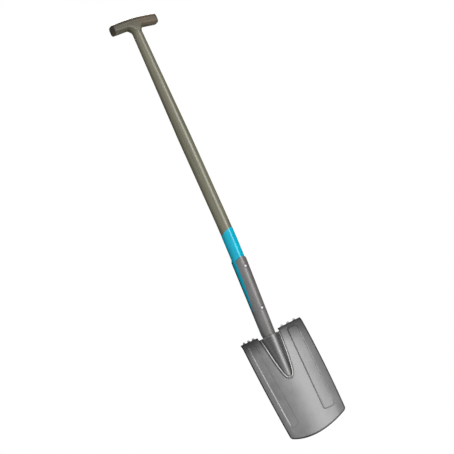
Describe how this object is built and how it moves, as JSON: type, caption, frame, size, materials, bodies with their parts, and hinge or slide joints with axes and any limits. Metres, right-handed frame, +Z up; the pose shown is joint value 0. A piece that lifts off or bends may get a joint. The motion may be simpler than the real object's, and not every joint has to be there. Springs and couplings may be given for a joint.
{
  "type": "spade",
  "caption": "Garden spade with a wooden cross handle, a round wooden shaft with a painted lower end, a riveted steel strap socket and a dished steel blade with rolled treads, for digging soil",
  "frame": {"origin": "on the upper shaft's axis, in the middle of its parallel stretch, where a tool clip holds it", "axes": "+Z up along the upper shaft to the cross handle, +X across the blade and along the handle, -Y out of the blade's concave front"},
  "size_m": [0.1983, 0.0637, 1.1692],
  "materials": {
    "stained_wood": "grey-brown stain under a semi-gloss lacquer",
    "blue_paint": "glossy cyan dip coat",
    "grey_steel": "satin grey coat on pressed steel",
    "bare_steel": "bright zinc-plated steel"
  },
  "bodies": {
    "root": {"t_handle": "stained_wood", "shaft": "stained_wood", "dip_coat": "blue_paint", "socket": "grey_steel", "blade": "grey_steel", "socket_welds": "grey_steel", "upper_rivet": "bare_steel", "lower_rivet": "bare_steel", "handle_pin": "bare_steel"}
  },
  "joints": []
}
